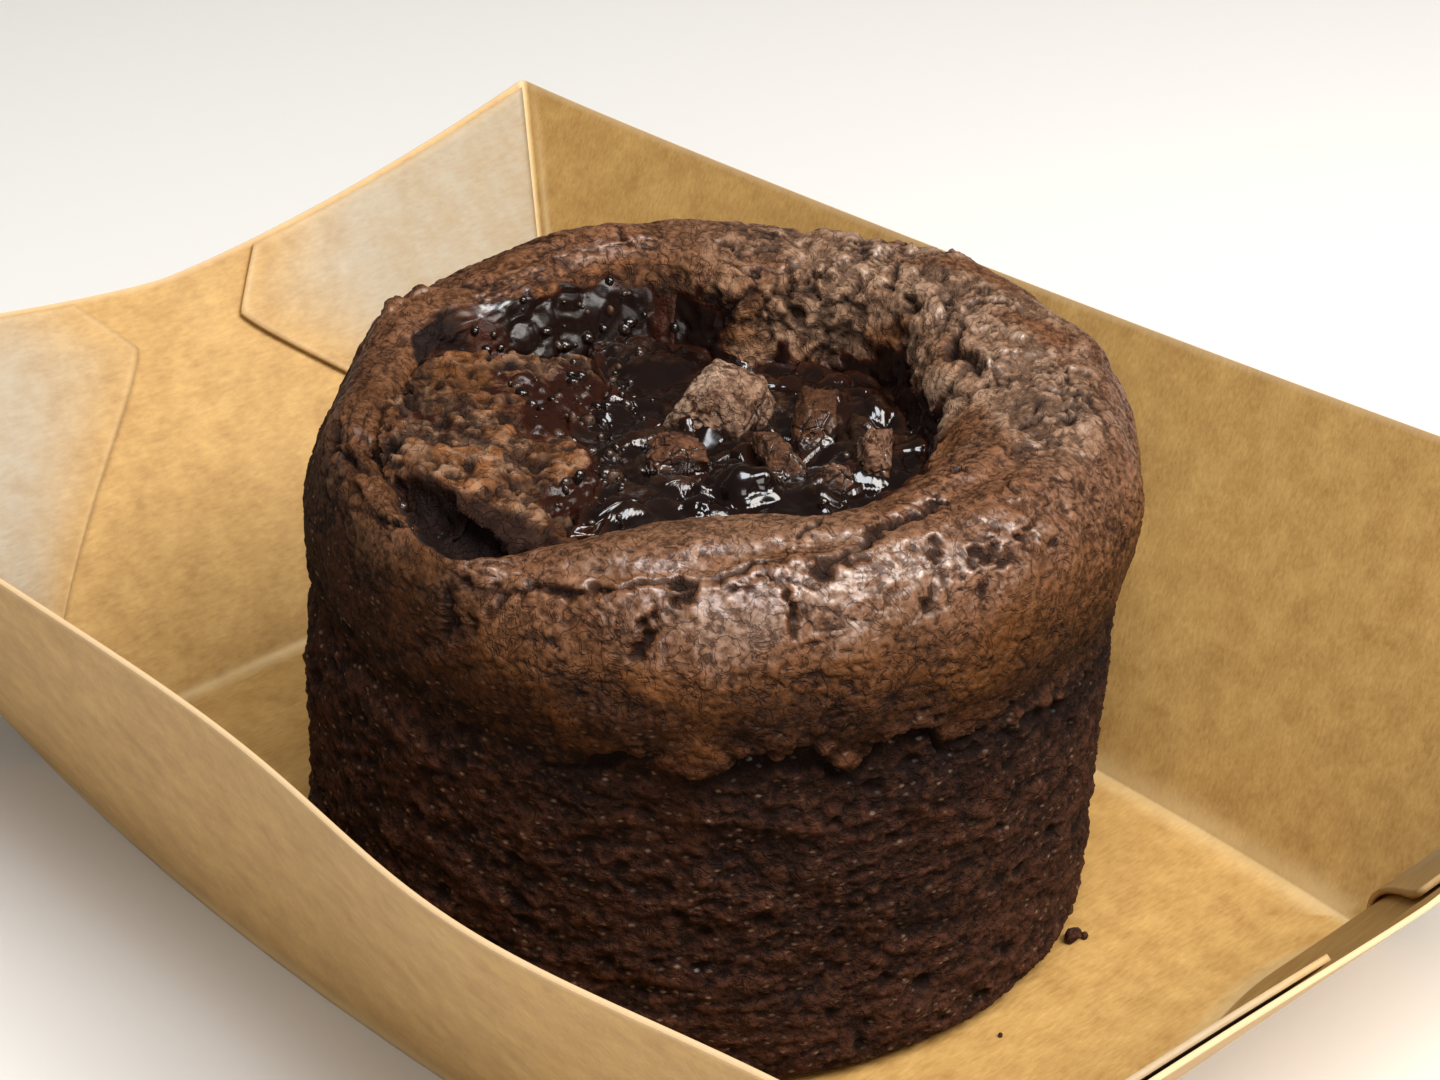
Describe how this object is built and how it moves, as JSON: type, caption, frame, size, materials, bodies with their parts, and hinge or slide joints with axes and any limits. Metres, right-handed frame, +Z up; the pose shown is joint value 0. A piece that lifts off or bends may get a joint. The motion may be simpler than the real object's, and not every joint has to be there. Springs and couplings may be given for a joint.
{
  "type": "chocolate souffle in a paper tray",
  "caption": "Tall round chocolate souffle cake with a sunken, cracked top and a molten chocolate middle, standing in an open kraft paper tray",
  "frame": {"origin": "centre of the tray's underside, on the surface it stands on", "axes": "+X along the tray's long side, +Y along its short side, +Z up"},
  "size_m": [0.1906, 0.1326, 0.0607],
  "materials": {
    "kraft_board": "matt kraft paperboard",
    "souffle_crumb": "baked chocolate crust over dark open crumb",
    "molten_chocolate": "wet glossy chocolate",
    "torn_crumb": "torn chocolate sponge, lightly glazed"
  },
  "bodies": {
    "root": {"tray": "kraft_board", "souffle": "souffle_crumb", "molten_chocolate": "molten_chocolate", "crumb_wedge": "torn_crumb", "crumb_tail": "torn_crumb", "crumb_streaked": "torn_crumb", "crumb_right": "torn_crumb", "crumb_small": "torn_crumb", "crumb_front": "torn_crumb"}
  },
  "joints": []
}
